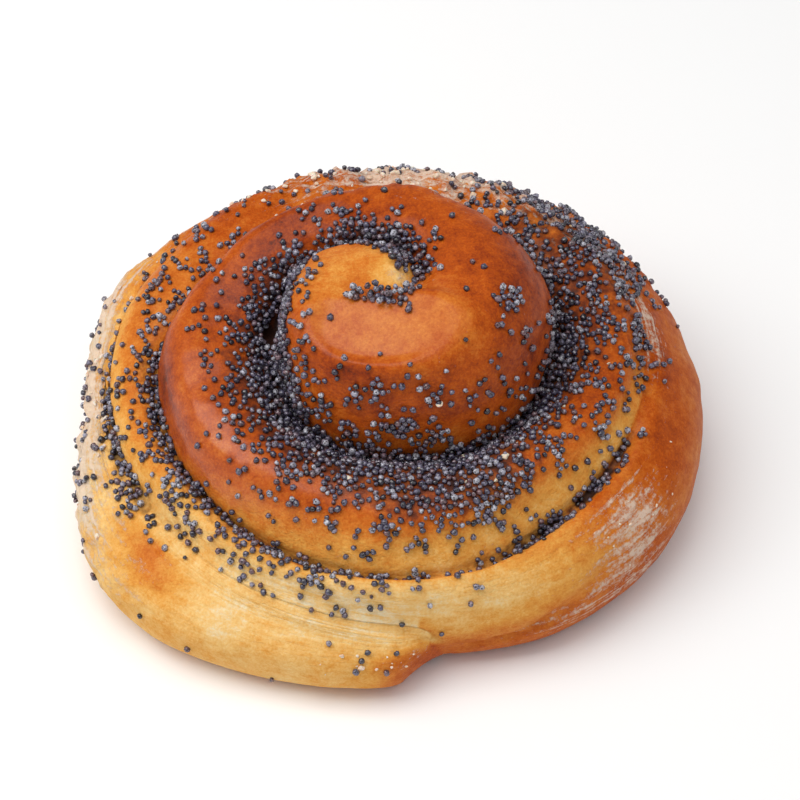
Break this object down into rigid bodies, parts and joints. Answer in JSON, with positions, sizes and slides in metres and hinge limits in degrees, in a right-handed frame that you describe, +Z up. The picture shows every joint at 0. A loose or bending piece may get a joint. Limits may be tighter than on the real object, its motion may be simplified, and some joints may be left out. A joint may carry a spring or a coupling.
{
  "type": "poppy seed bun",
  "caption": "Round coiled yeast bun with a tall domed centre, a spiral groove and poppy seeds stuck in the groove and on its shoulders.",
  "frame": {"origin": "middle of the bun's bounding box in plan, on the flat base it rests on", "axes": "+Z up from the flat base; +X along the widest way across, to the right as pictured; +Y away from the side where the coil's tail ends"},
  "size_m": [0.0964, 0.0884, 0.0458],
  "materials": {
    "crust": "baked egg-washed crust, orange-brown on the crests and pale where the dough stretched; soft sheen",
    "poppy_seed": "blue-black poppy seed with a dull grey bloom",
    "crumbs": "pale crumbs and flour, matt"
  },
  "bodies": {
    "root": {"bun": "crust"}
  },
  "joints": []
}
